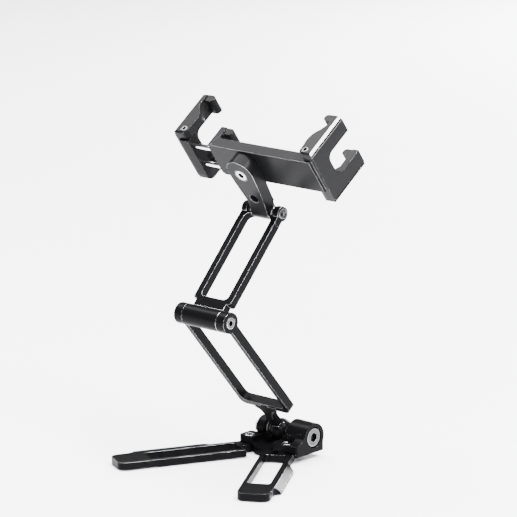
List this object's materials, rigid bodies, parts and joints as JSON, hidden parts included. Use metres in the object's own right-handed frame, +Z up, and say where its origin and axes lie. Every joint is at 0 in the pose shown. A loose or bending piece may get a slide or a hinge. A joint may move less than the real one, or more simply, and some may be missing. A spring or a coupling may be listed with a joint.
{
  "type": "folding phone stand",
  "caption": "Folding black aluminium phone stand: swinging legs, a tilting pair of frame arms, and a swivelling holder with a spring-loaded sliding jaw and folding claws.",
  "frame": {"origin": "on the desk, straight below the middle of the hub pin, on the underside of the base pad", "axes": "+X along the hinge pins towards the long right ear of the base, -Y to the back, where the legs point, +Z up"},
  "size_m": [0.099, 0.0871, 0.176],
  "materials": {
    "black": "black anodised, satin, with bright chamfers",
    "silver": "nickel plated",
    "dark_steel": "blackened",
    "rod": "polished",
    "spring": "bright wire",
    "rubber": "matt",
    "washer": "matt"
  },
  "bodies": {
    "base": {"base_block": "black", "base_pad": "rubber", "hub_bolt": "silver", "hub_nut": "silver", "hub_washers": "silver", "leg_pivot_screw_left": "silver", "leg_pivot_screw_right": "silver", "leg_nut_left": "silver", "leg_nut_right": "silver", "leg_washer_left": "washer", "leg_washer_right": "washer"},
    "left_leg": {"leg_left": "black", "foot_pads_left": "rubber"},
    "right_leg": {"leg_right": "black", "foot_pads_right": "rubber"},
    "lower_arm": {"lower_arm": "black", "elbow_bolt": "silver", "elbow_nut": "silver", "elbow_washers": "washer"},
    "upper_arm": {"upper_arm": "black", "fork_bolt": "dark_steel", "fork_nut": "dark_steel", "fork_spacers": "black"},
    "head_link": {"head_link": "black"},
    "holder": {"holder_bar": "black", "swivel_bolt": "silver", "swivel_nut": "silver", "swivel_washer": "washer", "right_claw_screws": "silver", "jaw_springs": "spring"},
    "jaw": {"slide_jaw": "black", "guide_rod_upper": "rod", "guide_rod_lower": "rod", "rod_end_stops": "silver", "left_claw_screws": "silver"},
    "right_claw": {"right_claw": "black", "right_claw_pads": "rubber"},
    "left_claw": {"left_claw": "black", "left_claw_pads": "rubber"}
  },
  "joints": [
    {"name": "left_leg_swing", "type": "hinge", "parent": "base", "child": "left_leg", "pos_m": [-0.0122, -0.0098, 0.0044], "axis": [0, 0, -1], "range_deg": [-26.7, 9.3]},
    {"name": "right_leg_swing", "type": "hinge", "parent": "base", "child": "right_leg", "pos_m": [0.0122, -0.0098, 0.0044], "axis": [0, 0, 1], "range_deg": [-31.7, 4.3]},
    {"name": "lower_arm_tilt", "type": "hinge", "parent": "base", "child": "lower_arm", "pos_m": [0, 0, 0.011], "axis": [1, 0, 0], "range_deg": [-40, 44]},
    {"name": "elbow_tilt", "type": "hinge", "parent": "lower_arm", "child": "upper_arm", "pos_m": [0, -0.05482, 0.07834], "axis": [1, 0, 0], "range_deg": [-95, 80]},
    {"name": "head_tilt", "type": "hinge", "parent": "upper_arm", "child": "head_link", "pos_m": [0, -0.01264, 0.12405], "axis": [-1, 0, 0], "range_deg": [-95, 80]},
    {"name": "holder_swivel", "type": "hinge", "parent": "head_link", "child": "holder", "pos_m": [0, -0.02798, 0.14517], "axis": [0, 0.809, 0.5878], "continuous": true},
    {"name": "jaw_slide", "type": "slide", "parent": "holder", "child": "jaw", "axis": [1, 0, 0], "range_m": [-0.024, 0.0125], "deforming": ["jaw_springs"]},
    {"name": "right_claw_fold", "type": "hinge", "parent": "holder", "child": "right_claw", "pos_m": [0.0407, -0.01986, 0.14921], "axis": [0, -0.5878, 0.809], "range_deg": [0, 72]},
    {"name": "left_claw_fold", "type": "hinge", "parent": "jaw", "child": "left_claw", "pos_m": [-0.0375, -0.01986, 0.14921], "axis": [0, 0.5878, -0.809], "range_deg": [0, 72]}
  ]
}
